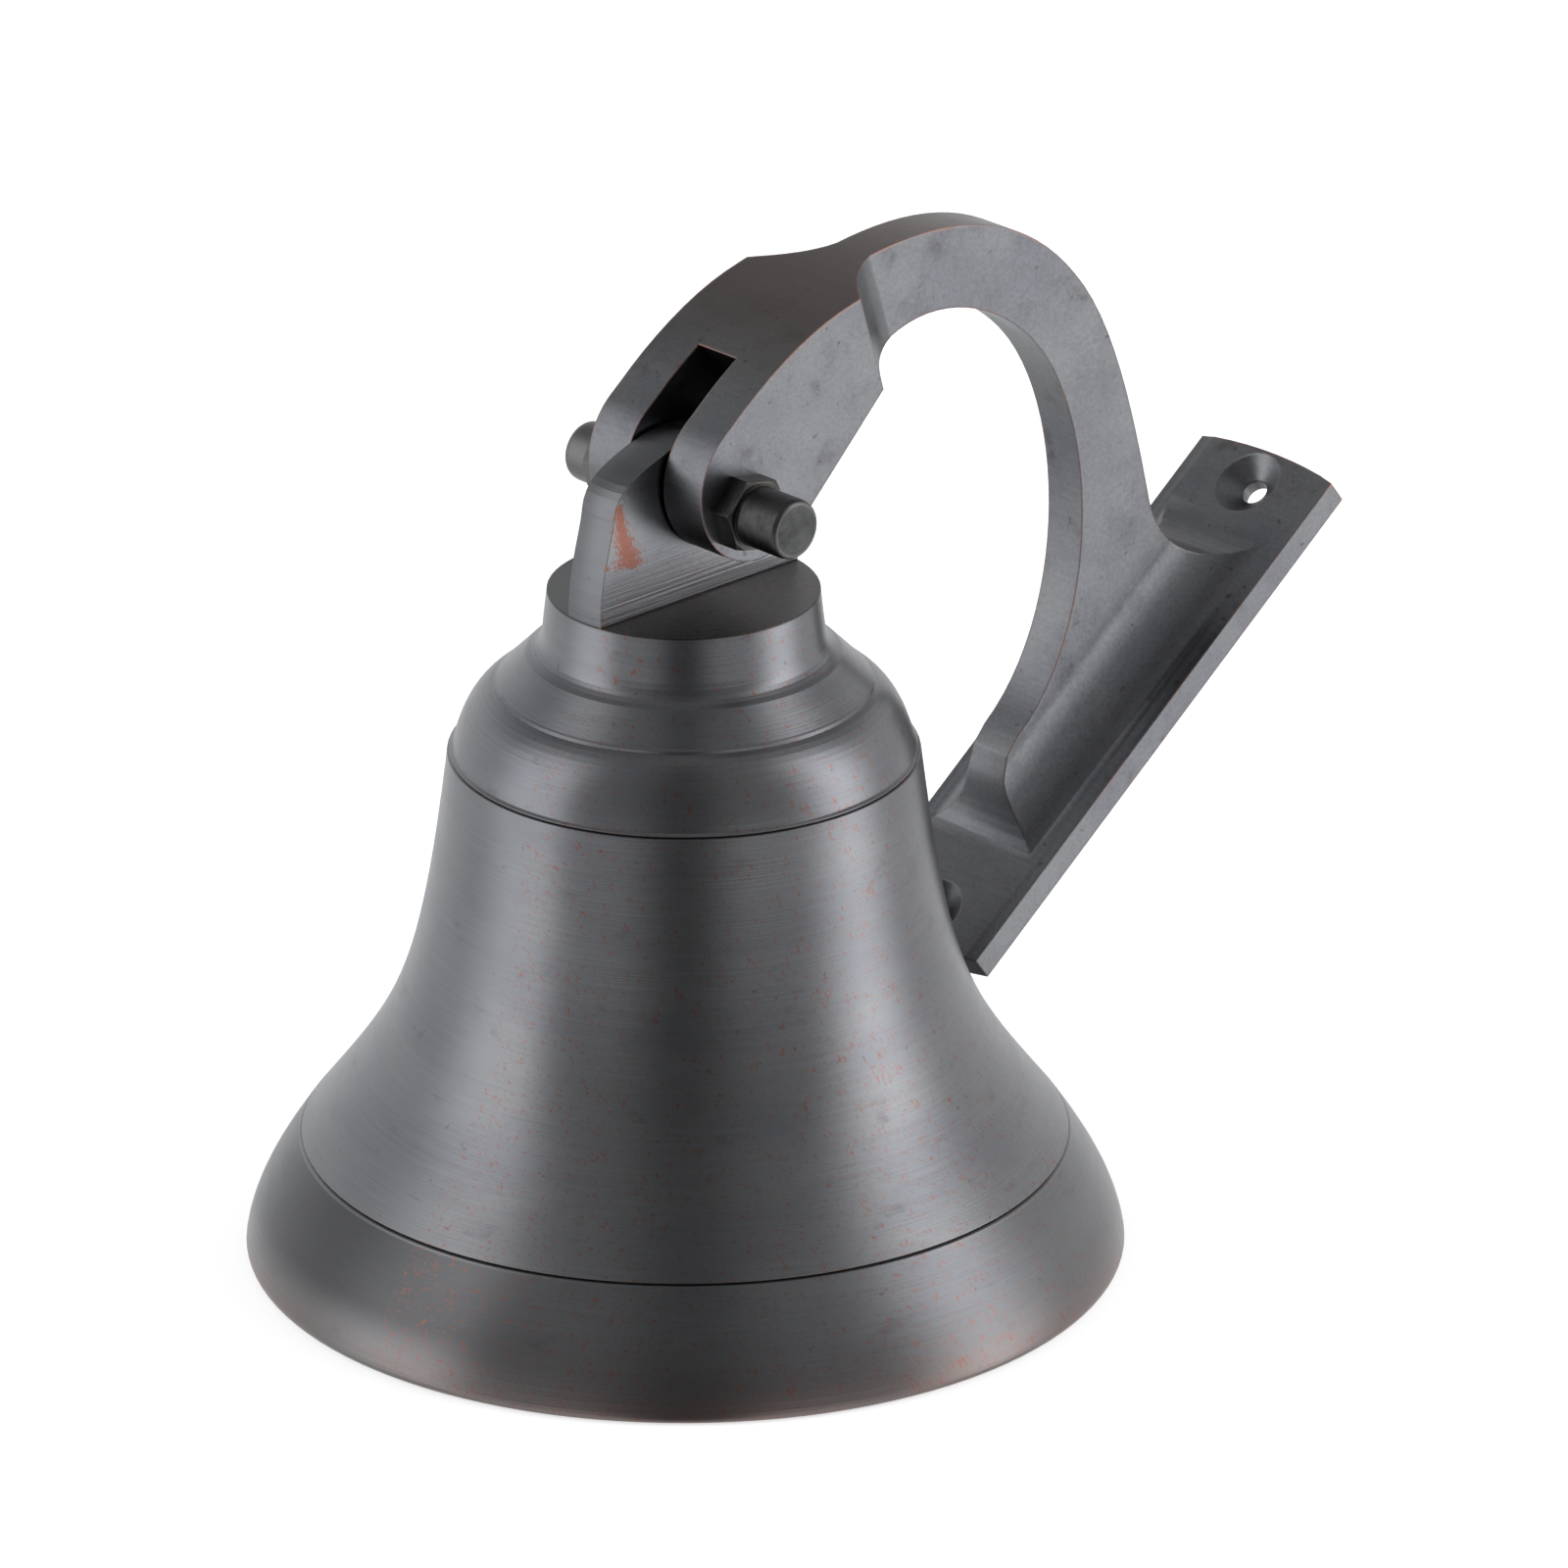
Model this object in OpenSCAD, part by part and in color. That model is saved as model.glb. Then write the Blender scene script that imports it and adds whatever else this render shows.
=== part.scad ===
// Yard dinner bell: a cast bell hung by its lug in the forked end of a wall bracket,
// with a clapper on a staple and a link. The bell stands on its mouth and the bracket
// leans back until the foot of its wall plate rests on the bell's waist.
// Millimetres. Origin: centre of the bell's mouth. +Z: up the bell's axis.
// +X: towards the wall plate. +Y: along the pivot bolt.

/* [Bell] */
// Diameter over the lip
mouth_d = 152.4; // [140:0.1:165]
// Height of the shoulder groove above the mouth
shoulder_z = 92.6; // [88:0.1:96]
// Radius at the shoulder groove
shoulder_r = 40.6; // [38:0.1:43]
// Height of the groove above the lip
lip_groove_z = 21.7; // [19:0.1:24]
// Radius at the lip groove
lip_groove_r = 66.5; // [64:0.1:69]
// Wall thickness at the waist
waist_wall = 4.2; // [3:0.1:6]
// Wall thickness where the clapper strikes
strike_wall = 6; // [4.5:0.1:8]

/* [Crown] */
// Radius of the collar at its foot
collar_foot_r = 24.5; // [23.5:0.1:26]
// Radius of the collar at its top
collar_top_r = 23.4; // [22:0.1:23.5]
// Height of the collar's top face
collar_top_z = 122; // [119:0.1:124]
// Thickness of the hanging lug
lug_t = 8; // [6:0.1:8.8]
// Height of the top of the lug
lug_top_z = 151.3; // [149:0.1:153]

/* [Pivot] */
// Height of the pivot bolt's axis
pivot_z = 140.4; // [138:0.1:141]
// Diameter of the pivot bolt
bolt_d = 8; // [6:0.5:9]
// Radial running clearance of the bolt in the lug
running_gap = 0.05; // [0.01:0.01:0.1]
// Height of the front cap nut
front_nut_h = 13.8; // [11:0.1:15]
// Height of the rear cap nut
rear_nut_h = 10.4; // [10:0.1:15]
// Size across the flats of a cap nut
nut_af = 12; // [11.5:0.1:13]
// Height of a cap nut's hexagon
nut_hex_h = 4.4; // [3:0.1:6]

/* [Bracket] */
// Angle that the wall plate leans back from upright
lean = 53; // [40:0.1:53]
// Distance from the pivot to the wall
wall_x = 116.8; // [114:0.1:120]
// Height of the wall plate's top end above the pivot
plate_top = 94.6; // [93:0.1:97]
// Length of the wall plate
plate_len = 112; // [110:0.1:112]
// Width of the wall plate
plate_w = 32; // [30:0.5:34]
// Thickness of the wall plate at its long edges
edge_t = 4.8; // [4:0.1:5]
// Thickness of the flat lands around the screw holes
land_t = 5.2; // [4.8:0.1:5.5]
// Thickness of the arm
arm_t = 8.4; // [7:0.1:9]
// Width over the fork
fork_w = 28; // [26:0.5:30]
// Width of the slot in the fork
slot_w = 9.4; // [9.4:0.1:11]
// Radius of the hollows along both sides of the arm's root
flute_r = 12; // [10:0.5:13]
// Distance between the two screw holes
screw_pitch = 98; // [96:0.5:98]
// Diameter of the screw holes
screw_d = 4.8; // [4.5:0.1:6]
// Diameter of the countersinks
sink_d = 12.6; // [9:0.1:12.8]
// Depth of the countersinks
sink_depth = 3; // [2:0.1:3.5]

/* [Clapper] */
// Height of the staple's lower bar, where the link hangs
staple_bar_z = 86; // [84:0.5:87]
// Height of the link's lower bar, where the clapper hangs
link_bar_z = 77; // [76:0.5:78]
// Radius of the wire in the staple, the link and the clapper's eye
wire_r = 1.6; // [1.4:0.1:1.8]
// Radius of the clapper's ball
ball_r = 10; // [8:0.5:11]
// Height of the ball's centre above the mouth
ball_z = 21; // [20:0.5:24]
// Radius of the clapper's rod
rod_r = 2.6; // [2:0.1:3]
// Diameter of the lanyard hole in the clapper's tail
lanyard_d = 2.6; // [2:0.1:3]

/* [Hidden] */
$fn = 96;
mouth_r = mouth_d / 2;
bolt_r = bolt_d / 2;
patina = [0.27, 0.27, 0.29];
dark = [0.17, 0.17, 0.18];
brass = [0.55, 0.42, 0.22];
dome_z = 104.6;     // where the dome meets the raised crown disc
disc_r = 32.5;      // radius of the raised crown disc
disc_h = 0.8;       // height of its step
cone_z = 111.6;     // where the crown's cone meets the collar
groove_w = 0.9;     // width of a turned groove
groove_d = 0.7;     // depth of a turned groove
boss_r = 11;        // radius of the boss inside the crown
boss_z = 99;        // underside of the boss
roof_z = 104;       // ceiling inside the crown
staple_r = 3.5;     // radius of the staple's shank
staple_in = 12;     // length of the shank inside the boss
eye = 9;            // width and height of the staple's and the rod's eyes, between bars
eye_bend = 3;       // radius of their corners
link_w = 7.6;       // width of the link, between bars
bar_step = 2 * wire_r + 0.15;       // from one bar's centre line up to the next one's
thread_gap = 0.02;  // gap drawn between a thread and its nut
tail_z = 2.4;       // underside of the clapper's tail
tail_r = 4.2;       // radius of the tail
lanyard_z = 5.2;    // height of the lanyard hole
nut_roof = 4.2;     // thickness of a cap nut's closed end
barrel_r = 5.3;     // radius of a cap nut's barrel
rod_end_z = ball_z - ball_r - 1.8;  // lower end of the rod, inside the tail
end_r = 92;         // radius of the plate's two curved ends
ear_r = 13.7;       // radius of the fork's rounded ears

// Points of a cubic curve from a to d with handles b and c
function curve(a, b, c, d, n = 12) =
    [for (i = [0:n]) let (t = i / n, s = 1 - t)
        s * s * s * a + 3 * s * s * t * b + 3 * s * t * t * c + t * t * t * d];
// Points of an arc about c, from angle a0 to a1
function arc(c, r, a0, a1, n = 12) =
    [for (i = [0:n]) let (a = a0 + (a1 - a0) * i / n) c + r * [cos(a), sin(a)]];
// A list without its first point, to join two runs that share one
function rest_of(list) = [for (i = [1:len(list) - 1]) list[i]];

// ---- bell ----

// Outer outline from the lip up to the axis, as [radius, height]
function bell_outside() = concat(
    [[mouth_r - 2.2, 0]],
    arc([mouth_r - 1.4, 1.4], 1.4, -60, 0, 5),
    curve([mouth_r - 0.05, 2], [mouth_r - 1.2, 9], [mouth_r - 5.5, 15.6],
          [lip_groove_r, lip_groove_z], 14),
    curve([lip_groove_r, lip_groove_z], [lip_groove_r - 16.9, lip_groove_z + 21.4],
          [shoulder_r + 5.3, shoulder_z - 43.9], [shoulder_r, shoulder_z], 24),
    curve([shoulder_r - 0.9, shoulder_z + 0.6], [shoulder_r - 1.6, shoulder_z + 4],
          [disc_r + 4.4, dome_z - 1.7], [disc_r, dome_z], 12),
    [[disc_r, dome_z + disc_h - 0.3], [disc_r - 0.4, dome_z + disc_h]],
    curve([collar_foot_r + 2.6, cone_z - 1.2], [collar_foot_r + 0.9, cone_z - 0.3],
          [collar_foot_r, cone_z + 0.4], [collar_foot_r - 0.2, cone_z + 2.4], 5),
    [[collar_top_r, collar_top_z]]);

// Inner outline from the ceiling down to the lip
function bell_inside() = concat(
    [[0, roof_z], [22, roof_z]],
    curve([22, roof_z], [31, roof_z], [shoulder_r - waist_wall - 1.6, shoulder_z + 6],
          [shoulder_r - waist_wall - 0.6, shoulder_z - 4], 8),
    curve([shoulder_r - waist_wall - 0.6, shoulder_z - 4],
          [shoulder_r + 0.6, shoulder_z - 46], [lip_groove_r - strike_wall - 19, lip_groove_z + 22],
          [lip_groove_r - strike_wall, lip_groove_z - 3], 20),
    curve([lip_groove_r - strike_wall, lip_groove_z - 3], [lip_groove_r - strike_wall + 4, 13],
          [mouth_r - strike_wall - 1.2, 8], [mouth_r - 4.8, 0], 8));

module ring_groove(r, z) {
    rotate_extrude() polygon([[r - groove_d, z], [r + 2, z - groove_w], [r + 2, z + groove_w]]);
}

// The lug's edges are turned with the collar, so it is a slice of a domed spigot
module lug_spigot() {
    rotate_extrude() polygon(concat(
        [[0, collar_top_z - 1], [collar_top_r, collar_top_z - 1], [collar_top_r, collar_top_z]],
        curve([collar_top_r, collar_top_z + 2.5], [collar_top_r - 0.2, collar_top_z + 9],
              [20.6, pivot_z - 3], [20.3, pivot_z], 6),
        curve([20.3, pivot_z + 0.3], [19.8, pivot_z + 4], [17.4, pivot_z + 6], [14.6, pivot_z + 7.2], 6),
        rest_of(curve([14.6, pivot_z + 7.2], [9.4, pivot_z + 9.6], [4.5, lug_top_z], [0, lug_top_z], 8))));
}

module bell() {
    color(patina) difference() {
        union() {
            rotate_extrude($fn = 128)
                polygon(concat(bell_outside(), [[0, collar_top_z]], bell_inside()));
            translate([0, 0, boss_z]) cylinder(r = boss_r, h = roof_z - boss_z + 1);
            intersection() {
                lug_spigot();
                translate([-30, -lug_t / 2, collar_top_z - 0.5]) cube([60, lug_t, 40]);
            }
        }
        ring_groove(lip_groove_r, lip_groove_z);
        ring_groove(shoulder_r, shoulder_z);
        translate([0, 0, pivot_z]) rotate([90, 0, 0])
            cylinder(r = bolt_r + running_gap, h = 20, center = true);
        translate([0, 0, boss_z - 1]) cylinder(r = staple_r, h = staple_in + 1);
    }
}

// ---- clapper ----

// Closed link of round wire in the X-Z plane with straight sides and round corners. Its lower
// bar's centre line is at z = 0 and its upper one's at z = tall; wide is between side bars.
module wire_link(wide, tall, bend) {
    for (side = [-1, 1]) {
        translate([side * wide / 2, 0, bend]) cylinder(r = wire_r, h = tall - 2 * bend, $fn = 32);
        translate([bend - wide / 2, 0, side > 0 ? tall : 0]) rotate([0, 90, 0])
            cylinder(r = wire_r, h = wide - 2 * bend, $fn = 32);
        for (up = [0, 1])
            translate([side * (wide / 2 - bend), 0, up > 0 ? tall - bend : bend]) rotate([90, 0, 0])
                rotate([0, 0, up > 0 ? (side > 0 ? 0 : 90) : (side > 0 ? -90 : 180)])
                    rotate_extrude(angle = 90) translate([bend, 0]) circle(r = wire_r, $fn = 32);
    }
}

module clapper_staple() {
    foot_z = staple_bar_z + eye - wire_r / 2;
    color(brass) {
        translate([0, 0, staple_bar_z]) rotate([0, 0, 90]) wire_link(eye, eye, eye_bend);
        translate([0, 0, foot_z]) cylinder(r = staple_r, h = boss_z + staple_in - 0.5 - foot_z);
    }
}

module staple_nut() {
    color(brass) translate([0, 0, boss_z - 2.2]) difference() {
        cylinder(d = 11 / cos(30), h = 2.2, $fn = 6);
        translate([0, 0, -1]) cylinder(r = staple_r + thread_gap, h = 5);
    }
}

module clapper_link() {
    color(brass) translate([0, 0, link_bar_z])
        wire_link(link_w, staple_bar_z + bar_step - link_bar_z, link_w / 2 - 0.6);
}

module clapper_rod() {
    foot_z = link_bar_z + bar_step - eye;
    color(brass) {
        translate([0, 0, foot_z]) rotate([0, 0, 90]) wire_link(eye, eye, eye_bend);
        translate([0, 0, rod_end_z]) cylinder(r = rod_r, h = foot_z - rod_end_z);
    }
}

module clapper_ball() {
    color(dark) difference() {
        union() {
            intersection() {
                translate([0, 0, ball_z]) sphere(r = ball_r);
                translate([0, 0, rod_end_z + 2.2]) cylinder(r = 20, h = 40);
            }
            translate([0, 0, ball_z]) cylinder(r = rod_r + 1.8, h = ball_r + 2.5);
        }
        cylinder(r = rod_r + thread_gap, h = 60);
    }
}

module clapper_tail() {
    color(dark) difference() {
        rotate_extrude() polygon(concat([[0, tail_z], [tail_r - 1, tail_z]],
            arc([tail_r - 1, tail_z + 1], 1, -60, 0, 4),
            [[tail_r, rod_end_z + 1.4], [tail_r - 0.8, rod_end_z + 2.2], [0, rod_end_z + 2.2]]));
        translate([0, 0, rod_end_z]) cylinder(r = rod_r + thread_gap, h = 20);
        translate([0, 0, lanyard_z]) rotate([0, 90, 0]) cylinder(d = lanyard_d, h = 20, center = true);
    }
}

// ---- bracket ----

// Side outline as mounted on a wall: [distance from the pivot towards the wall, height]
function bracket_side() = let (
        land_x = wall_x - land_t,
        ear_c = [0.2, 5.7],
        bottom = plate_top - plate_len)
    concat(
        arc(ear_c, ear_r, 0, -180, 30),
        curve([-13.5, 8], [-14, 17], [-12.8, 28], [-9.6, 36], 8),
        rest_of(curve([-9.6, 36], [1.2, 62.5], [16, 81.5], [44, 81.5], 24)),
        rest_of(curve([44, 81.5], [59, 81.5], [78, 73], [90.2, 67.7], 12)),
        rest_of(curve([90.2, 67.7], [99, 64.5], [land_x, 67], [land_x, 81], 12)),
        [[land_x, plate_top + 2], [wall_x, plate_top + 2], [wall_x, bottom - 2], [land_x, bottom - 2]],
        curve([land_x, 4], [land_x, 10], [103.6, 11.4], [101.8, 14.4], 8),
        curve([101.8, 14.4], [100.7, 16.2], [99.9, 16.4], [99.6, 17.6], 4),
        curve([98.9, 21], [98.6, 46], [69, 67.7], [46, 67.7], 24),
        rest_of(curve([46, 67.7], [33, 67.7], [17, 60], [13.6, 45.5], 18)),
        curve([12.6, 42.5], [11.4, 39.5], [10.4, 38], [10.2, 34.5], 5));

// Section across the wall plate: the arm's root spreads to the plate in two hollows
module root_section() {
    half = plate_w / 2;
    reach = arm_t / 2 + flute_r;
    hollow = arc([reach, edge_t + flute_r], flute_r, 270, 180, 16);
    side = [for (p = hollow) [min(p.x, half), p.y]];
    polygon(concat([[half, 0]], side, [[arm_t / 2, 150], [-arm_t / 2, 150]],
                   [for (i = [len(side) - 1:-1:0]) [-side[i].x, side[i].y]], [[-half, 0]]));
}

// Plan of the fork, which narrows to the arm in a hollow on each side
module fork_plan() {
    end = 36;
    hollow = curve([fork_w / 2, end], [fork_w / 2 - 2.4, end + 2],
                   [arm_t / 2 + 1.2, end + 6], [arm_t / 2, end + 12], 10);
    polygon(concat([[fork_w / 2, -30]], hollow,
                   [for (i = [len(hollow) - 1:-1:0]) [-hollow[i].x, hollow[i].y]],
                   [[-fork_w / 2, -30]]));
}

module screw_hole(z) {
    translate([wall_x, 0, z]) rotate([0, -90, 0]) {
        translate([0, 0, -1]) cylinder(d = screw_d, h = 20);
        translate([0, 0, land_t - sink_depth]) cylinder(d1 = screw_d, d2 = sink_d, h = sink_depth);
        translate([0, 0, land_t]) cylinder(d = sink_d, h = 4);
    }
}

module bracket_upright() {
    middle = plate_top - plate_len / 2;
    difference() {
        intersection() {
            rotate([90, 0, 0]) linear_extrude(height = 60, center = true) polygon(bracket_side());
            union() {
                translate([wall_x, 0, -40]) linear_extrude(height = 160)
                    rotate([0, 0, 90]) root_section();
                rotate([0, 20, 0]) rotate([0, 90, 0]) rotate([0, 0, 90])
                    linear_extrude(height = 120, center = true) fork_plan();
            }
            translate([60, 0, plate_top - end_r]) rotate([0, 90, 0])
                cylinder(r = end_r, h = 160, center = true);
            translate([60, 0, plate_top - plate_len + end_r]) rotate([0, 90, 0])
                cylinder(r = end_r, h = 160, center = true);
        }
        translate([-30, -slot_w / 2, -20]) cube([60, slot_w, 40]);
        rotate([90, 0, 0]) cylinder(r = bolt_r + running_gap, h = 60, center = true);
        for (z = [-1, 1]) screw_hole(middle + z * screw_pitch / 2);
    }
}

module bracket() {
    color(patina) translate([0, 0, pivot_z]) rotate([0, lean, 0]) bracket_upright();
}

// ---- pivot ----

module pivot_bolt() {
    blind = nut_roof + 0.4;
    color(dark) translate([0, rear_nut_h - blind + fork_w / 2, pivot_z]) rotate([90, 0, 0])
        cylinder(r = bolt_r, h = fork_w + front_nut_h + rear_nut_h - 2 * blind);
}

// Cap nut standing on the fork's face: hexagon, barrel and flattened dome
module cap_nut(nut_h) {
    difference() {
        union() {
            intersection() {
                cylinder(d = nut_af / cos(30), h = nut_hex_h, $fn = 6);
                cylinder(r1 = nut_af / 2 + 6, r2 = nut_af / 2 + 0.2, h = nut_hex_h);
            }
            rotate_extrude() polygon(concat([[0, 1], [barrel_r, 1], [barrel_r, nut_h - 1.8]],
                rest_of(curve([barrel_r, nut_h - 1.8], [barrel_r, nut_h - 0.8],
                              [barrel_r - 0.1, nut_h - 0.2], [barrel_r - 0.7, nut_h], 8)),
                [[0, nut_h]]));
        }
        translate([0, 0, -1]) cylinder(r = bolt_r + thread_gap, h = nut_h - nut_roof + 1);
    }
}

module cap_nut_front() {
    color(dark) translate([0, -fork_w / 2, pivot_z]) rotate([90, 12, 0])
        cap_nut(front_nut_h);
}

module cap_nut_rear() {
    color(dark) translate([0, fork_w / 2, pivot_z]) rotate([-90, 12, 0])
        cap_nut(rear_nut_h);
}

bell();
clapper_staple();
staple_nut();
clapper_link();
clapper_rod();
clapper_ball();
clapper_tail();
bracket();
pivot_bolt();
cap_nut_front();
cap_nut_rear();
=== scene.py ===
import math
import bmesh
import bpy
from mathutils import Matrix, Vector


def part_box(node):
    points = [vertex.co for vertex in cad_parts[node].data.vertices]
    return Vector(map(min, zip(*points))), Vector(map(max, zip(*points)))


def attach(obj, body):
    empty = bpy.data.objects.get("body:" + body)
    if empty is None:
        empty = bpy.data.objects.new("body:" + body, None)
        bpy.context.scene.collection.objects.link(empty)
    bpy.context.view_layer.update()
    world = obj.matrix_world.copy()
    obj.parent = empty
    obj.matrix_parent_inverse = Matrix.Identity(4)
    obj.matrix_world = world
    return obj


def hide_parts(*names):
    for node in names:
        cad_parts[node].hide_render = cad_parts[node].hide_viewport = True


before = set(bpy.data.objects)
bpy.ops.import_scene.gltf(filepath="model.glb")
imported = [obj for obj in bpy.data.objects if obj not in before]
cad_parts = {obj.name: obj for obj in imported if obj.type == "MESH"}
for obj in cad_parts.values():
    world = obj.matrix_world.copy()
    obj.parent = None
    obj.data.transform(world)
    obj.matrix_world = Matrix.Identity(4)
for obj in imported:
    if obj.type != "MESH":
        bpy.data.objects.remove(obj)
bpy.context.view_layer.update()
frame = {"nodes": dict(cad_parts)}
scene = bpy.context.scene
parts = frame["nodes"]
print("frame loaded:", len(parts), "parts")

mm = 0.001
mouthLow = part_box("bell")[0]
nutLow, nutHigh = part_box("cap_nut_front")
pivotHeight = (nutLow.z + nutHigh.z) / 2


# camera

cameraView = {
    "azimuth": -43.7,      # degrees round the bell
    "elevation": 22.67,    # degrees above the table
    "distance": 2.52,      # metres from the bell's axis
    "lens": 337.5,         # mm
    "aimHeight": 85.7 * mm,
    "aimSide": 17.1 * mm,  # the bracket reaches out to the right
}


def turnVectors(azimuth, elevation):
    a, e = math.radians(azimuth), math.radians(elevation)
    toCamera = Vector((math.sin(a) * math.cos(e), -math.cos(a) * math.cos(e), math.sin(e)))
    return toCamera, Vector((math.cos(a), math.sin(a), 0))


def makeCamera(s):
    toCamera, right = turnVectors(s["azimuth"], s["elevation"])
    data = bpy.data.cameras.new("camera")
    data.lens = s["lens"]
    data.sensor_width = 36
    data.clip_start, data.clip_end = 0.05, 50
    camera = bpy.data.objects.new("camera", data)
    scene.collection.objects.link(camera)
    camera.location = Vector((0, 0, s["aimHeight"])) + right * s["aimSide"] + toCamera * s["distance"]
    camera.rotation_euler = (-toCamera).to_track_quat("-Z", "Y").to_euler()
    scene.camera = camera


makeCamera(cameraView)
print("camera placed")


# bracket

bracketLook = {
    "sharpAngle": 24.0,   # degrees; gentler turns are shaded smooth
    "flatAngle": 0.4,     # degrees; triangles flatter than this become one face
}


def smoothCopy(name, node, body, s):
    mesh = bpy.data.meshes.new(name)
    bm = bmesh.new()
    bm.from_mesh(parts[node].data)
    bmesh.ops.remove_doubles(bm, verts=bm.verts, dist=0.002 * mm)
    flat = math.radians(s["flatAngle"])
    bmesh.ops.dissolve_limit(bm, angle_limit=flat, verts=bm.verts, edges=bm.edges)
    sharp = math.radians(s["sharpAngle"])
    for face in bm.faces:
        face.smooth = True
        face.material_index = 0
    for edge in bm.edges:
        edge.smooth = edge.is_manifold and edge.calc_face_angle(0.0) < sharp
    bm.to_mesh(mesh)
    bm.free()
    if "custom_normal" in mesh.attributes:
        mesh.attributes.remove(mesh.attributes["custom_normal"])
    piece = bpy.data.objects.new(name, mesh)
    scene.collection.objects.link(piece)
    weighted = piece.modifiers.new("even normals", "WEIGHTED_NORMAL")
    weighted.keep_sharp = True
    weighted.weight = 100
    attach(piece, body)
    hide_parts(node)
    parts[name] = piece


smoothCopy("bracket_smooth", "bracket", "bracket", bracketLook)
print("bracket smoothed")


# shader maths

class Num:
    def __init__(self, sheet, socket):
        self.sheet, self.socket = sheet, socket

    def join(self, operation, *values):
        return self.sheet.add("ShaderNodeMath", {"operation": operation}, values).num()

    def __add__(self, other):
        return self.join("ADD", self, other)

    def __radd__(self, other):
        return self.join("ADD", other, self)

    def __sub__(self, other):
        return self.join("SUBTRACT", self, other)

    def __rsub__(self, other):
        return self.join("SUBTRACT", other, self)

    def __mul__(self, other):
        return self.join("MULTIPLY", self, other)

    def __rmul__(self, other):
        return self.join("MULTIPLY", other, self)

    def __truediv__(self, other):
        return self.join("DIVIDE", self, other)

    def __rtruediv__(self, other):
        return self.join("DIVIDE", other, self)

    def __pow__(self, other):
        return self.join("POWER", self, other)

    def __abs__(self):
        return self.join("ABSOLUTE", self)

    def high(self, other):
        return self.join("MAXIMUM", self, other)

    def low(self, other):
        return self.join("MINIMUM", self, other)

    def ramp(self, start, end):  # 0 before start, 1 after end, smooth between
        settings = {"interpolation_type": "SMOOTHSTEP"}
        values = {"Value": self, "From Min": start, "From Max": end}
        return self.sheet.add("ShaderNodeMapRange", settings, values).num()


class Made:
    def __init__(self, sheet, node):
        self.sheet, self.node = sheet, node

    def num(self, name=0):
        return Num(self.sheet, self.node.outputs[name])

    def out(self, name=0):
        return self.node.outputs[name]


class Sheet:
    def __init__(self, tree):
        self.tree = tree
        tree.nodes.clear()

    def add(self, kind, settings, values):
        node = self.tree.nodes.new(kind)
        for key, value in settings.items():
            setattr(node, key, value)
        pairs = values.items() if isinstance(values, dict) else enumerate(values)
        for key, value in pairs:
            socket = node.inputs[key]
            if isinstance(value, Num):
                value = value.socket
            if isinstance(value, bpy.types.NodeSocket):
                self.tree.links.new(value, socket)
            else:
                socket.default_value = value
        return Made(self, node)

    def vector(self, x, y, z):
        return self.add("ShaderNodeCombineXYZ", {}, (x, y, z)).out()

    def noise(self, vector, scale=1.0, detail=2.0, rough=0.5):
        values = {"Vector": vector, "Scale": scale, "Detail": detail, "Roughness": rough}
        return self.add("ShaderNodeTexNoise", {}, values).num(0)

    def mix(self, factor, first, second):
        made = self.add("ShaderNodeMix", {"data_type": "RGBA"}, {0: factor, 6: first, 7: second})
        return made.out(2)

    def tint(self, r, g, b):
        return (r, g, b, 1.0)


# patina finishes

turnedPatina = {
    "grey": (0.185, 0.188, 0.196),
    "blue": (0.165, 0.170, 0.183),
    "smudge": (0.105, 0.100, 0.108),
    "copper": (0.32, 0.19, 0.145),
    "bareCopper": (0.23, 0.088, 0.058),
    "lipBrown": (0.145, 0.124, 0.118),
    # the dark tint below is painted shade for the lip's camera-left side
    "lipShadeTint": (0.056, 0.055, 0.057),
    "roughness": 0.33,
    "streakBump": 0.035,
    "millMarks": 2.5,
    "collarTop": 122.0,   # mm, the collar's top face
    "lipGroove": 21.7,    # mm, the groove above the lip
    "lugFace": -3.9,      # mm, just inside the lug's near face
    "chip": (-21.4, 132.5),       # mm, a chip on the lug's edge
    "lipShadeAcross": (0.72, 0.69),  # the way the painted shade on the lip's camera-left side fades
    "soot": (0.02, 0.02, 0.02),
    # a pale tone for the streaks, and the painted sheen on the lug's sides
    "paleToneAndSheen": (0.5, 0.5, 0.52),
    # the tint below darkens hollows: grime and painted shade
    "grimeAndShadeTint": (0.03, 0.03, 0.028),
    # the dark tint below is painted shade on the lug's edge faces
    "lugEdgeShadeTint": (0.05, 0.05, 0.05),
    "lipWear": 7.0,       # mm above the mouth that the copper shows through
    "scrapeX": -18.6,     # top of the bare patch on the lug
    "scrapeTop": 144.0,
    "scrapeFoot": 130.4,
    "lipShadeAmount": 0.80,     # how dark the painted shade on the lip's camera-left side is
}

forgedPatina = {
    "grey": (0.168, 0.169, 0.174),
    "blue": (0.142, 0.144, 0.158),
    "smudge": (0.085, 0.080, 0.088),
    "copper": (0.44, 0.21, 0.145),
    "brown": (0.105, 0.080, 0.070),
    "lean": 53.0,         # degrees that the wall plate leans back
    "soot": (0.02, 0.02, 0.02),
    "paleToneAndSheen": (0.5, 0.5, 0.52),
    # the tint below darkens hollows: grime and painted shade
    "grimeAndShadeTint": (0.03, 0.03, 0.028),
    "roughness": 0.36,
    "streakBump": 0.03,
}

fastenerPatina = {
    "grey": (0.070, 0.070, 0.068),
    "blue": (0.050, 0.050, 0.051),
    "rear": (0.160, 0.160, 0.158),
    # the pale tint below is a painted highlight ring on the nut's end
    "rimHighlight": (0.190, 0.185, 0.178),
    "smudge": (0.032, 0.031, 0.030),
    "copper": (0.26, 0.18, 0.13),
    "roughness": 0.38,
    "streakBump": 0.05,
}

agedBrass = {
    "bright": (0.60, 0.43, 0.20),
    "dull": (0.33, 0.22, 0.11),
    "spot": (0.12, 0.085, 0.055),
    "roughness": 0.38,
}


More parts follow.
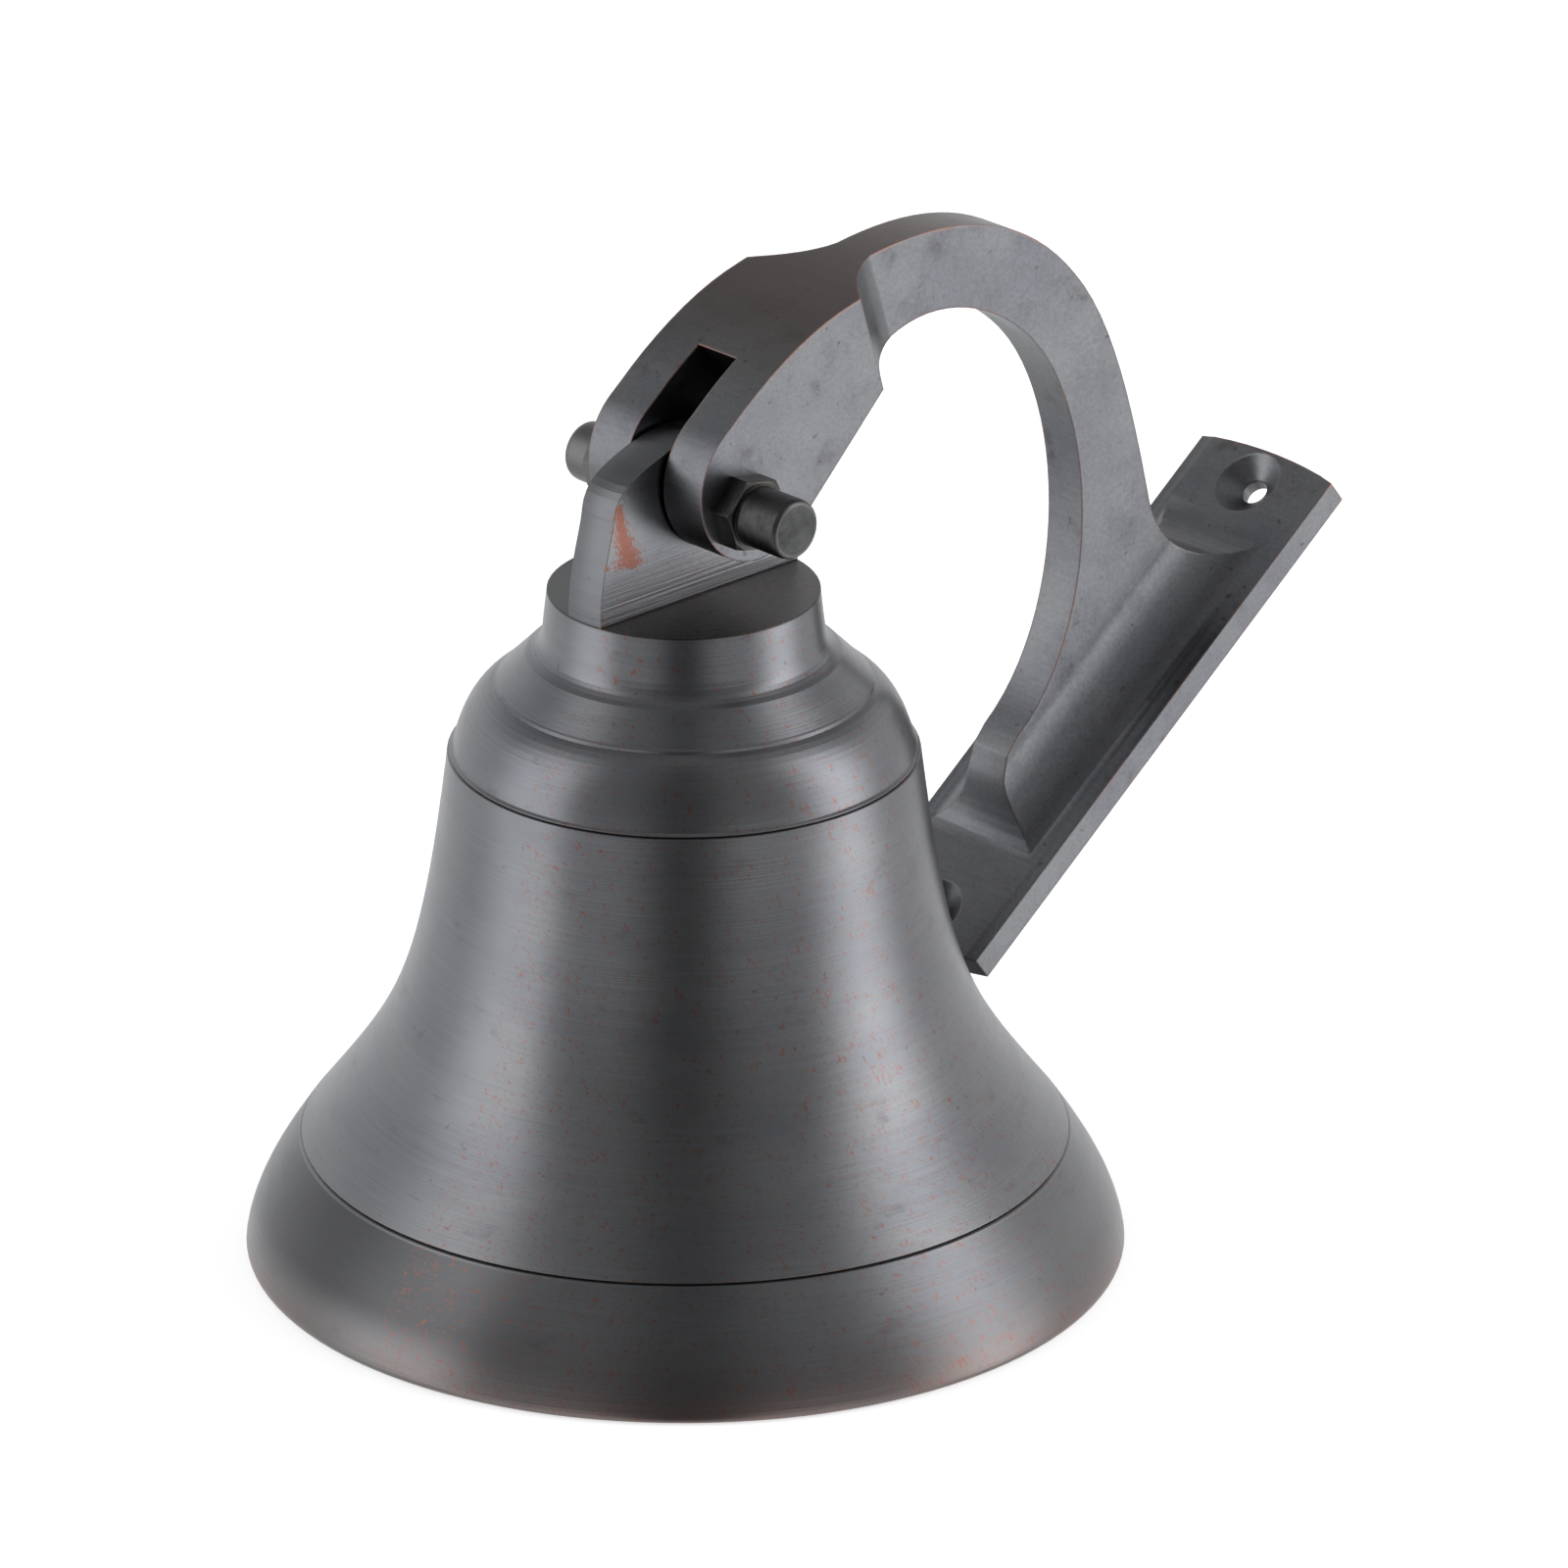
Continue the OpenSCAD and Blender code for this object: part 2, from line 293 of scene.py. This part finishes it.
def newSheet(name):
    material = bpy.data.materials.new(name)
    material.use_nodes = True
    return material, Sheet(material.node_tree)


def place(sheet):  # the point on the piece, in mm
    point = sheet.add("ShaderNodeTexCoord", {}, {}).out("Object")
    axes = sheet.add("ShaderNodeSeparateXYZ", {}, (point,))
    return point, axes.num(0) * 1000.0, axes.num(1) * 1000.0, axes.num(2) * 1000.0


def edgeMask(sheet, reach):  # high near outward corners
    settings = {"samples": 6, "inside": True, "only_local": True}
    return 1.0 - sheet.add("ShaderNodeAmbientOcclusion", settings, {"Distance": reach * mm}).num("AO")


def creviceMask(sheet, reach):  # high in corners and hollows
    settings = {"samples": 6, "inside": False, "only_local": True}
    return 1.0 - sheet.add("ShaderNodeAmbientOcclusion", settings, {"Distance": reach * mm}).num("AO")


def finishMetal(sheet, colour, roughness, height, bumpDepth, softEdge, anisotropic=0.0):
    rounded = sheet.add("ShaderNodeBevel", {"samples": 4}, {"Radius": softEdge * mm}).out("Normal")
    relief = {"Strength": 1.0, "Distance": bumpDepth * mm, "Height": height, "Normal": rounded}
    bump = sheet.add("ShaderNodeBump", {}, relief)
    values = {
        "Base Color": colour,
        "Metallic": 1.0,
        "Roughness": roughness,
        "Normal": bump.out("Normal"),
        "Anisotropic": anisotropic,
        "Anisotropic Rotation": 0.25,
    }
    metal = sheet.add("ShaderNodeBsdfPrincipled", {}, values)
    sheet.add("ShaderNodeOutputMaterial", {}, {"Surface": metal.out("BSDF")})


def patinaColour(sheet, s, cloud, spots):
    base = sheet.mix(cloud.ramp(0.38, 0.62), sheet.tint(*s["grey"]), sheet.tint(*s["blue"]))
    return sheet.mix(spots, base, sheet.tint(*s["smudge"]))


def scrapeMask(sheet, s, x, y, z):  # bare metal where the fork has rubbed the lug
    drop = (s["scrapeTop"] - z) * 0.077
    middle = drop * drop * 3.0 + s["scrapeX"]
    reach = drop.high(0.0) * 3.8 + 0.9
    patch = 1.0 - abs(x - middle) / reach
    foot = z.ramp(s["scrapeFoot"], s["scrapeFoot"] + 1.6)
    ends = foot * (1.0 - z.ramp(s["scrapeTop"] - 1.5, s["scrapeTop"]))
    flecks = sheet.noise(sheet.vector(x * 2.4 + z * 0.9, y, z * 0.7), detail=5, rough=0.8)
    blots = sheet.noise(sheet.vector(x * 0.5, y, z * 0.5), detail=3, rough=0.6)
    chipX, chipZ = s["chip"]
    chip = 1.0 - ((x - chipX) ** 2 + (z - chipZ) ** 2) ** 0.5 * 0.8
    near = 1.0 - y.ramp(s["lugFace"], s["lugFace"] + 0.7)
    body = patch * ends + flecks * 3.6 + blots * 1.2 - 2.55
    return body.high(chip + flecks * 2.0 - 1.4).ramp(0.0, 0.5) * near * 0.9


def bellPatina(s):
    material, sheet = newSheet("bell patina")
    point, x, y, z = place(sheet)
    radius = (x * x + y * y) ** 0.5
    top = s["collarTop"]
    onLug = z.ramp(top + 0.05, top + 0.25)
    along = z - radius * (1.0 - onLug)                      # runs down the bell across the turning marks
    fine = sheet.noise(sheet.vector(x * 0.045, y * 0.045, along * 3.6), detail=3)
    broad = sheet.noise(sheet.vector(x * 0.15, y * 0.15, along * 0.8), detail=3)
    cloud = sheet.noise(sheet.vector(x * 0.035, y * 0.035, along * 0.06), detail=3)
    blotch = sheet.noise(sheet.vector(x * 0.11, y * 0.11, along * 0.16), detail=5, rough=0.6)
    pits = sheet.noise(point, scale=650.0, detail=1)
    spots = blotch.ramp(0.60, 0.74) * 0.5 + pits.ramp(0.74, 0.80) * 0.7
    base = patinaColour(sheet, s, cloud, spots.low(1.0))
    darker = sheet.mix(0.20, base, sheet.tint(*s["soot"]))
    lighter = sheet.mix(0.10, base, sheet.tint(*s["paleToneAndSheen"]))
    streaked = sheet.mix((fine - 0.5) * 0.8 + (broad - 0.5) * 0.25 + 0.5, darker, lighter)
    acrossX, acrossY = s["lipShadeAcross"]
    acrossLip = x * acrossX - y * acrossY
    belowGroove = 1.0 - z.ramp(s["lipGroove"] - 0.8, s["lipGroove"] - 0.2)
    # painted shade: the lip below the groove is darkened on the camera's left side, with a little on the far
    # right
    lipShade = (1.0 - acrossLip.ramp(-50.0, -6.0) + acrossLip.ramp(20.0, 60.0) * 0.25) * z.ramp(4.0, 11.0)
    brownish = sheet.mix((1.0 - z.ramp(2.0, 15.0)) * 0.6, streaked, sheet.tint(*s["lipBrown"]))
    lipShaded = sheet.mix(lipShade * belowGroove * s["lipShadeAmount"], brownish, sheet.tint(*s["lipShadeTint"]))
    facing = sheet.add("ShaderNodeNewGeometry", {}, {}).out("Normal")
    sideways = abs(sheet.add("ShaderNodeSeparateXYZ", {}, (facing,)).num(1)).ramp(0.3, 0.7)
    # painted shade: the lug's faces that do not face sideways are darkened
    lugEdgeShade = sheet.mix(onLug * (1.0 - sideways) * 0.32, lipShaded, sheet.tint(*s["lugEdgeShadeTint"]))
    # painted sheen: the lug's sideways-facing faces are lightened
    toneByFacing = sheet.mix(onLug * sideways * 0.10, lugEdgeShade, sheet.tint(*s["paleToneAndSheen"]))
    edge = edgeMask(sheet, 0.9)
    lip = (1.0 - z.ramp(0.0, s["lipWear"])) * (cloud * 1.6 + broad * 0.4 - 0.62).high(0.0)
    onRim = 1.0 - z.ramp(0.6, 3.0)
    patchy = (blotch * 2.4 - 1.0).high(0.0)
    wear = (edge.ramp(0.26, 0.5) * patchy * (onRim * 0.5 + 0.35) + lip * 0.45).low(1.0)
    worn = sheet.mix(wear, toneByFacing, sheet.tint(*s["copper"]))
    # painted shade: the collar's top face is darkened to near black, where it reflects the lug's shaded face
    paintedCollarShade = z.ramp(top - 0.4, top - 0.1) * (1.0 - z.ramp(top + 0.05, top + 0.3))
    # grime and painted shade: hollows are darkened through an occlusion mask
    shadeAndGrime = (creviceMask(sheet, 5.0).ramp(0.25, 0.95) * 0.28 + paintedCollarShade * 0.85).low(0.93)
    shadedAndGrimy = sheet.mix(shadeAndGrime, worn, sheet.tint(*s["grimeAndShadeTint"]))
    scraped = sheet.mix(scrapeMask(sheet, s, x, y, z), shadedAndGrimy, sheet.tint(*s["bareCopper"]))
    roughness = broad * 0.03 + blotch * 0.09 + s["roughness"] - 0.06
    millLines = sheet.noise(sheet.vector(x * 0.03, 0.0, z * 2.2), detail=2)
    milled = millLines * onLug * (1.0 - z.ramp(top + 2.0, top + 7.0))
    height = fine * 0.8 + broad * 0.15 + blotch * 0.2 + milled * s["millMarks"]
    finishMetal(sheet, scraped, roughness, height, s["streakBump"], 0.25, 0.45)
    return material


def bracketPatina(s):
    material, sheet = newSheet("bracket patina")
    point, x, y, z = place(sheet)
    streak = sheet.noise(sheet.vector(x * 1.6, y * 0.10, z * 1.6), detail=3)
    grain = sheet.noise(point, scale=1500.0, detail=2)
    cloud = sheet.noise(point, scale=45.0, detail=3)
    blotch = sheet.noise(point, scale=130.0, detail=5, rough=0.6)
    pits = sheet.noise(point, scale=520.0, detail=1)
    spots = blotch.ramp(0.58, 0.74) * 0.6 + pits.ramp(0.72, 0.78) * 0.8
    stains = sheet.noise(point, scale=85.0, detail=5, rough=0.65).ramp(0.52, 0.68) * 0.35
    base = patinaColour(sheet, s, cloud, (spots + stains).low(1.0))
    darker = sheet.mix(0.25, base, sheet.tint(*s["soot"]))
    lighter = sheet.mix(0.12, base, sheet.tint(*s["paleToneAndSheen"]))
    mottled = sheet.mix((grain - 0.5) * 0.8 + (streak - 0.5) * 0.6 + 0.5, darker, lighter)
    lean = math.radians(s["lean"])
    rise = z - pivotHeight / mm
    out = x * math.cos(lean) - rise * math.sin(lean)    # towards the wall
    up = x * math.sin(lean) + rise * math.cos(lean)     # along the wall plate
    facing = sheet.add("ShaderNodeNewGeometry", {}, {}).out("Normal")
    sideways = abs(sheet.add("ShaderNodeSeparateXYZ", {}, (facing,)).num(1)).ramp(0.3, 0.7)
    # browner on the arm's top and end faces above 158 mm, those that do not face sideways
    crown = (1.0 - sideways) * z.ramp(158.0, 172.0)
    toneByFacing = sheet.mix(crown * 0.8, mottled, sheet.tint(*s["brown"]))
    edge = edgeMask(sheet, 0.9)
    plateEnd = up.ramp(84.0, 94.0) * out.ramp(98.0, 104.0)
    rubbed = plateEnd * 0.75 + (1.0 - out.ramp(-8.0, 8.0)) * 0.30 + z.ramp(158.0, 170.0) * 0.40
    patchy = (blotch * 3.2 + cloud * 1.6 - 2.25 + rubbed).high(0.0).low(1.0)
    wear = edge.ramp(0.26, 0.50) * patchy * 0.70
    worn = sheet.mix(wear, toneByFacing, sheet.tint(*s["copper"]))
    # painted shade: the inside of the fork's slot is darkened
    slotShade = (1.0 - abs(y).ramp(4.6, 4.9)) * creviceMask(sheet, 12.0).ramp(0.3, 0.8) * 0.6
    # grime and painted shade: hollows are darkened through an occlusion mask
    shadeAndGrime = (creviceMask(sheet, 5.0).ramp(0.3, 0.95) * 0.35 + slotShade).low(0.85)
    shadedAndGrimy = sheet.mix(shadeAndGrime, worn, sheet.tint(*s["grimeAndShadeTint"]))
    roughness = blotch * 0.16 + s["roughness"] - 0.08
    height = streak * 0.6 + grain * 0.3 + blotch * 0.5
    finishMetal(sheet, shadedAndGrimy, roughness, height, s["streakBump"], 0.5)
    return material


def fastenerMetal(s):
    material, sheet = newSheet("fastener patina")
    point, x, y, z = place(sheet)
    rise = z - pivotHeight / mm
    radius = (x * x + rise * rise) ** 0.5
    along = abs(y) - radius
    fine = sheet.noise(sheet.vector(x * 0.2, rise * 0.2, along * 4.0), detail=2)
    blotch = sheet.noise(point, scale=260.0, detail=4, rough=0.6)
    front = patinaColour(sheet, s, blotch, blotch.ramp(0.56, 0.7) * 0.8)
    base = sheet.mix(y.ramp(0.0, 4.0) * 0.8, front, sheet.tint(*s["rear"]))
    tip = 1.0 - y.ramp(nutLow.y / mm + 0.2, nutLow.y / mm + 1.2)
    # painted highlight: a pale ring round the nut's end disc stands in for a rim light
    rimHighlight = radius.ramp(4.2, 4.6) * (1.0 - radius.ramp(4.8, 5.2)) * tip * 0.45
    rimHighlighted = sheet.mix(rimHighlight, base, sheet.tint(*s["rimHighlight"]))
    rubbed = (blotch * 2.0 - 0.5).high(0.0).low(1.0) * 0.6
    wear = edgeMask(sheet, 0.9).ramp(0.25, 0.5) * rubbed
    worn = sheet.mix(wear, rimHighlighted, sheet.tint(*s["copper"]))
    roughness = fine * 0.2 + s["roughness"] - 0.1
    finishMetal(sheet, worn, roughness, fine + blotch * 0.5, s["streakBump"], 0.25)
    return material


def brassMetal(s):
    material, sheet = newSheet("aged brass")
    point = place(sheet)[0]
    cloud = sheet.noise(point, scale=120.0, detail=4, rough=0.6)
    spots = sheet.noise(point, scale=420.0, detail=3)
    base = sheet.mix(cloud.ramp(0.35, 0.62), sheet.tint(*s["bright"]), sheet.tint(*s["dull"]))
    spotted = sheet.mix(spots.ramp(0.58, 0.72) * 0.8, base, sheet.tint(*s["spot"]))
    roughness = cloud * 0.25 + s["roughness"] - 0.12
    finishMetal(sheet, spotted, roughness, cloud + spots * 0.4, 0.05, 0.2)
    return material


def paint(material, *names):
    for name in names:
        slots = parts[name].data.materials
        slots.clear()
        slots.append(material)


paint(bellPatina(turnedPatina), "bell")
paint(bracketPatina(forgedPatina), "bracket", "bracket_smooth")
paint(fastenerMetal(fastenerPatina), "pivot_bolt", "cap_nut_front", "cap_nut_rear")
clapperParts = ["clapper_staple", "staple_nut", "clapper_link", "clapper_rod", "clapper_ball", "clapper_tail"]
paint(brassMetal(agedBrass), *clapperParts)
print("finishes made")


# studio

studio = {
    "ambient": 0.38,
    "cameraSide": 0.13,       # the dark side of the room, behind the camera
    "leftStart": 54.0,        # degrees round from the camera to the soft boxes
    "rightStart": 54.0,
    "leftFade": 14.0,         # degrees over which a box's near edge fades
    "rightFade": 34.0,
    "boxEnd": 112.0,
    "leftBox": 1.8,
    "rightBox": 3.2,
    "behind": 0.95,
    "boxTop": 50.0,           # degrees above the horizon
    "bounce": 0.75,           # light thrown back up from the table
    "floorSize": 8.0,
    "floorGlow": 0.62,
    "lightTint": (0.97, 0.985, 1.0),
    "floorTint": (0.86, 0.86, 0.86),
}


def makeWorld(s):
    world = bpy.data.worlds.new("studio")
    scene.world = world
    world.use_nodes = True
    sheet = Sheet(world.node_tree)
    toward, rightWay = turnVectors(cameraView["azimuth"], 0.0)
    ray = sheet.add("ShaderNodeTexCoord", {}, {}).out("Generated")
    side = sheet.add("ShaderNodeVectorMath", {"operation": "DOT_PRODUCT"}, (ray, rightWay)).num("Value")
    front = sheet.add("ShaderNodeVectorMath", {"operation": "DOT_PRODUCT"}, (ray, toward)).num("Value")
    rise = sheet.add("ShaderNodeSeparateXYZ", {}, (ray,)).num(2)
    turn = sheet.add("ShaderNodeMath", {"operation": "ARCTAN2"}, (abs(side), front)).num() * math.degrees(1)
    tilt = sheet.add("ShaderNodeMath", {"operation": "ARCSINE"}, (rise,)).num() * math.degrees(1)
    onRight = side.ramp(-0.02, 0.02)
    left = turn.ramp(s["leftStart"], s["leftStart"] + s["leftFade"]) * (1.0 - onRight) * s["leftBox"]
    right = turn.ramp(s["rightStart"], s["rightStart"] + s["rightFade"]) * onRight * s["rightBox"]
    box = (left + right) * (1.0 - turn.ramp(s["boxEnd"] - 30, s["boxEnd"]))
    overhead = tilt.ramp(s["boxTop"] - 18, s["boxTop"] + 18)
    box = box * (1.0 - overhead) * (tilt.ramp(-45, 0) * 0.75 + 0.25)
    farSide = turn.ramp(s["boxEnd"] - 30, s["boxEnd"] + 5) * (1.0 - tilt.ramp(15, 45))
    behind = farSide * (s["behind"] - s["ambient"])
    room = turn.ramp(3, 34) * (s["ambient"] - s["cameraSide"]) + s["cameraSide"]
    bounce = (1.0 - tilt.ramp(-28, 2)) * turn.ramp(8, 30) * (1.0 - turn.ramp(50, 80)) * s["bounce"]
    strength = room + behind + box + bounce
    values = {"Color": sheet.tint(*s["lightTint"]), "Strength": strength}
    light = sheet.add("ShaderNodeBackground", {}, values)
    sheet.add("ShaderNodeOutputWorld", {}, {"Surface": light.out()})


def makeFloor(s):
    bpy.ops.mesh.primitive_plane_add(size=s["floorSize"], location=(0, 0, mouthLow.z - 0.05 * mm))
    floor = bpy.context.object
    floor.name = "floor"
    floor.visible_glossy = False
    material, sheet = newSheet("pale floor")
    values = {
        "Base Color": sheet.tint(*s["floorTint"]),
        "Roughness": 0.9,
        "Emission Color": sheet.tint(1, 1, 1),
        "Emission Strength": s["floorGlow"],
    }
    surface = sheet.add("ShaderNodeBsdfPrincipled", {}, values)
    sheet.add("ShaderNodeOutputMaterial", {}, {"Surface": surface.out("BSDF")})
    floor.data.materials.append(material)


makeWorld(studio)
makeFloor(studio)
scene.view_settings.view_transform = "Standard"
print("studio lit")
